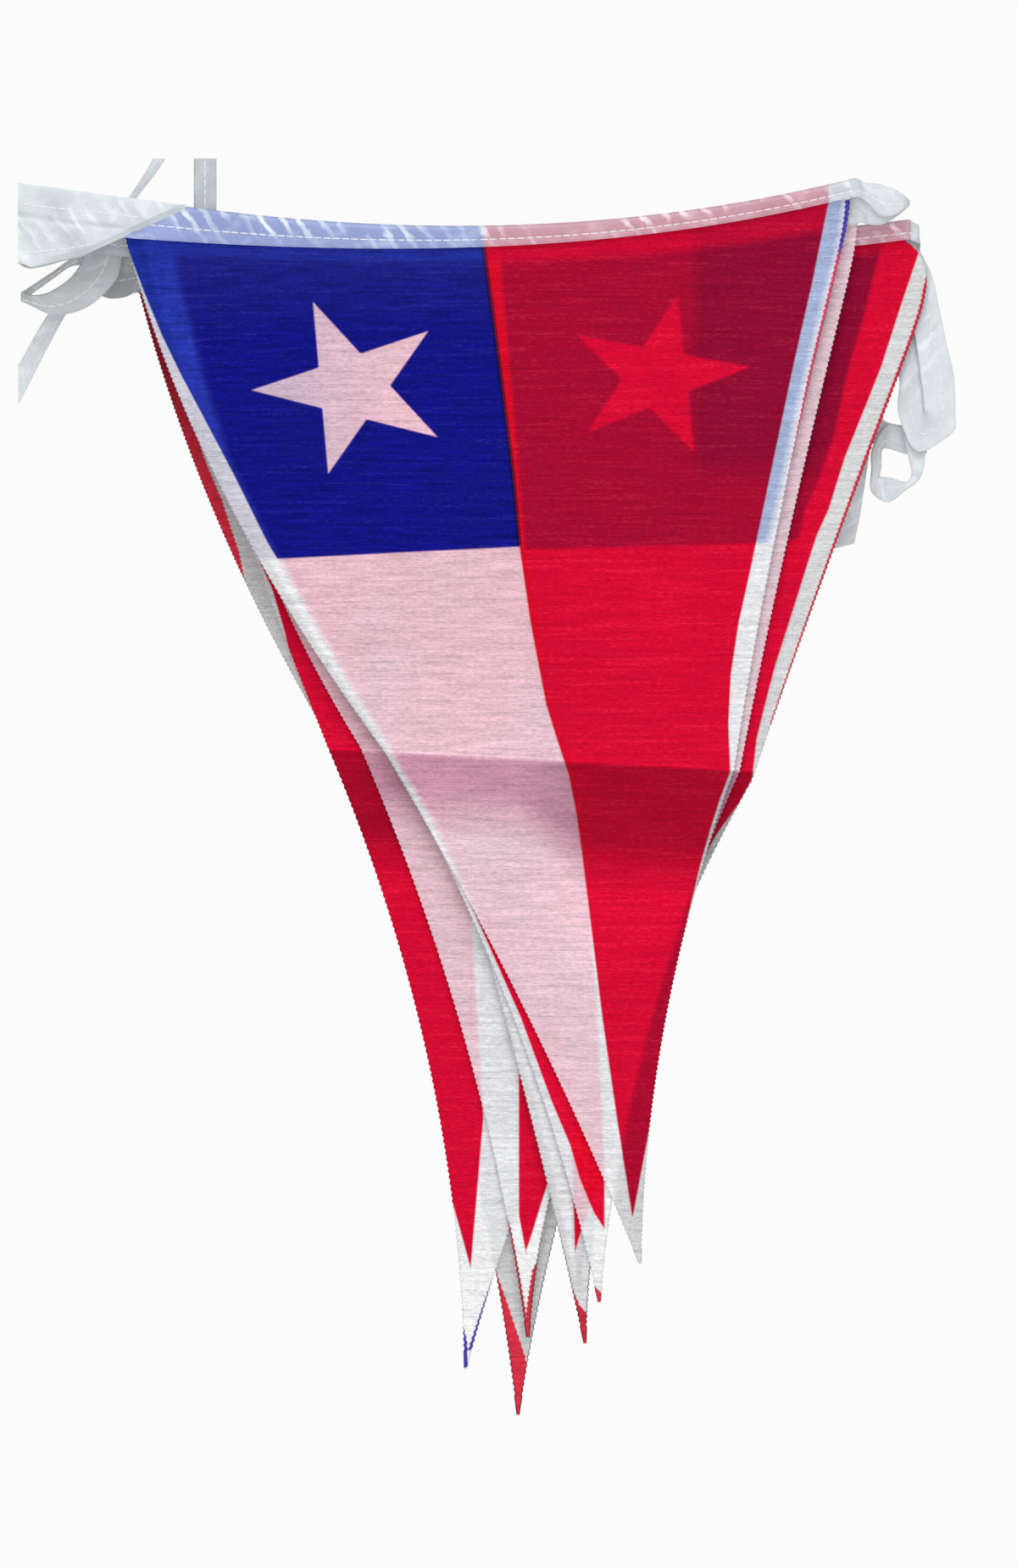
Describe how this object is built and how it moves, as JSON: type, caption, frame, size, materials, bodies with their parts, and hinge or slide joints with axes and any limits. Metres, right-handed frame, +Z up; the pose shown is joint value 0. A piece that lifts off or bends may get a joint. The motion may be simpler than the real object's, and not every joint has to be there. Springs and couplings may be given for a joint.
{
  "type": "fabric bunting",
  "caption": "String of sheer triangular pennants sewn into a folded satin tape, bunched so that they hang one behind another, with tape loops at both sides.",
  "frame": {"origin": "middle of the top end of the upright tape, from which the bunch hangs", "axes": "+Z up; the front of the bunch faces -Y; +X to the right as seen from the front"},
  "size_m": [0.2657, 0.0296, 0.3552],
  "materials": {
    "printed_cloth": "sheer printed polyester",
    "satin_ribbon": "satin"
  },
  "bodies": {
    "root": {"pennant_1": "printed_cloth", "pennant_2": "printed_cloth", "pennant_3": "printed_cloth", "pennant_4": "printed_cloth", "pennant_5": "printed_cloth", "pennant_6": "printed_cloth", "pennant_7": "printed_cloth", "tape": "satin_ribbon", "slanting_tape": "satin_ribbon"}
  },
  "joints": []
}
